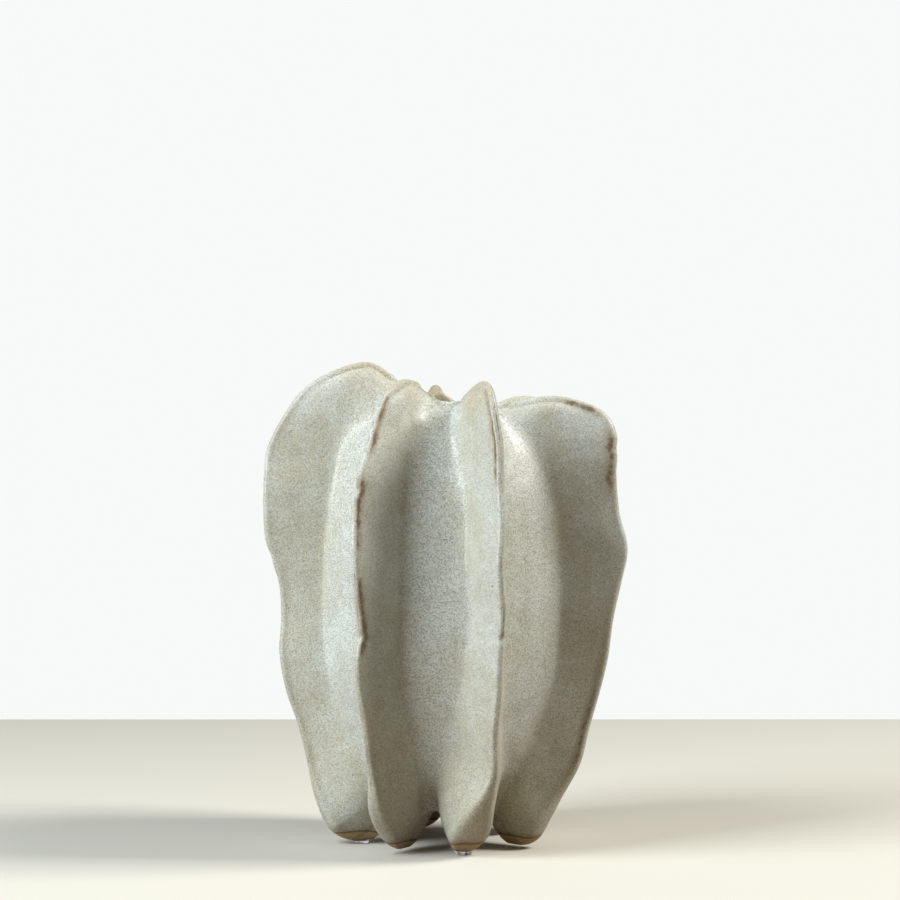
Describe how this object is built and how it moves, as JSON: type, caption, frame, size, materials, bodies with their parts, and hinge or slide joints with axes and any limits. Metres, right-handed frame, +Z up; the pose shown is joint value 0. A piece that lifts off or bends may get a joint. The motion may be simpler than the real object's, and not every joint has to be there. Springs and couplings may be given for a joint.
{
  "type": "finned stoneware vase",
  "caption": "Hand-built stoneware vase of wavy upright fins and deep valleys around a narrow mouth, in speckled grey-white glaze, with bare clay feet on clear bumpers.",
  "frame": {"origin": "on the vase's axis at table height, under the middle of the floor", "axes": "+Z up, -Y towards the front, which is the side with the arch between two edge-on fins, +X to the right of someone facing the front"},
  "size_m": [0.1612, 0.1557, 0.2153],
  "materials": {
    "glazed_stoneware": "satin",
    "bare_stoneware": "matte",
    "clear_rubber": "gloss"
  },
  "bodies": {
    "root": {"wall_slab_1": "glazed_stoneware", "wall_slab_2": "glazed_stoneware", "wall_slab_3": "glazed_stoneware", "wall_slab_4": "glazed_stoneware", "wall_slab_5": "glazed_stoneware", "wall_slab_6": "glazed_stoneware", "wall_slab_7": "glazed_stoneware", "seam_coil_1": "glazed_stoneware", "seam_coil_2": "glazed_stoneware", "seam_coil_3": "glazed_stoneware", "seam_coil_4": "glazed_stoneware", "seam_coil_5": "glazed_stoneware", "seam_coil_6": "glazed_stoneware", "seam_coil_7": "glazed_stoneware", "floor_slab": "bare_stoneware", "floor_coil": "glazed_stoneware", "bumper_1": "clear_rubber", "bumper_3": "clear_rubber", "bumper_5": "clear_rubber", "bumper_7": "clear_rubber"}
  },
  "joints": []
}
